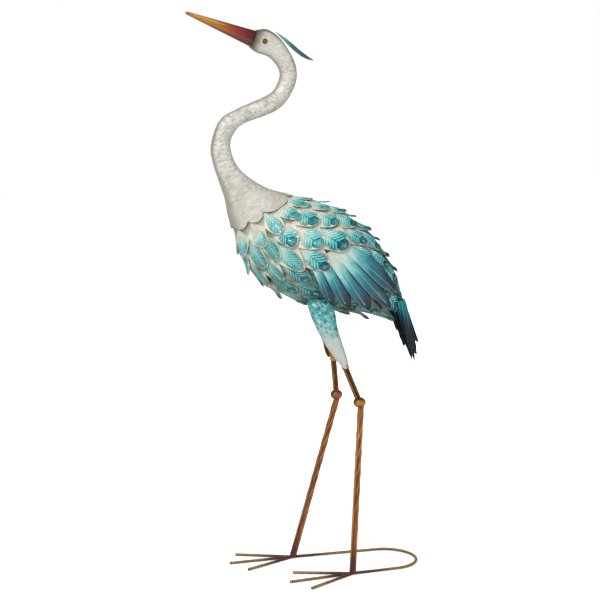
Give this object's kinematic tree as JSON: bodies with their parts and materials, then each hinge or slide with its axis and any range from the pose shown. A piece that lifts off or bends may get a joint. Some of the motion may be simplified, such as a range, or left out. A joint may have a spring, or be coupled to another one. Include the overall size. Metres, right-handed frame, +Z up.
{
  "type": "metal crane garden statue",
  "caption": "Standing crane garden statue of painted sheet metal, with layered embossed feathers, long bar legs, toes and a rear ground hoop.",
  "frame": {"origin": "on the ground, under the middle of the statue's bounding box", "axes": "+Z up; the bird faces -X; its left side faces -Y"},
  "size_m": [0.4516, 0.234, 1.0435],
  "materials": {
    "cream_paint": "satin off-white paint, mottled with faint grey strokes",
    "hull_paint": "dull brown base paint, in the shade of the feathers",
    "feather_paint": "satin aqua and teal paint on cream, with rust-brown edges",
    "wing_paint": "satin paint, cream at the root, through aqua and teal to slate blue",
    "tail_paint": "satin paint, teal at the top to near black at the finger tips",
    "crest_paint": "satin paint, pale teal to dark teal",
    "beak_paint": "glossy paint, ochre gold at the tip to burgundy at the root",
    "thigh_paint": "satin paint, blotchy teal at the top to off-white, brown inside",
    "leg_bronze": "copper-brown metallic paint with golden highlights",
    "toe_gold": "ochre gold metallic paint, darker near the ankles",
    "eye_gloss": "glossy dark amber"
  },
  "bodies": {
    "root": {"head_and_neck": "cream_paint", "beak": "beak_paint", "crest_plume": "crest_paint", "body_hull": "hull_paint", "feather_row_1": "feather_paint", "feather_row_2": "feather_paint", "feather_row_3": "feather_paint", "feather_row_4": "feather_paint", "feather_row_5": "feather_paint", "feather_row_6": "feather_paint", "feather_row_7": "feather_paint", "feather_row_8": "feather_paint", "feather_row_9": "feather_paint", "tail": "tail_paint", "eye_left": "eye_gloss", "wing_left": "wing_paint", "thigh_left": "thigh_paint", "leg_sleeve_left": "leg_bronze", "upper_leg_left": "leg_bronze", "knee_ball_left": "leg_bronze", "lower_leg_left": "leg_bronze", "toe_middle_left": "toe_gold", "toe_inner_left": "toe_gold", "toe_outer_left": "toe_gold", "eye_right": "eye_gloss", "wing_right": "wing_paint", "thigh_right": "thigh_paint", "leg_sleeve_right": "leg_bronze", "upper_leg_right": "leg_bronze", "knee_ball_right": "leg_bronze", "lower_leg_right": "leg_bronze", "toe_middle_right": "toe_gold", "toe_inner_right": "toe_gold", "toe_outer_right": "toe_gold", "rear_hoop": "toe_gold"}
  },
  "joints": []
}
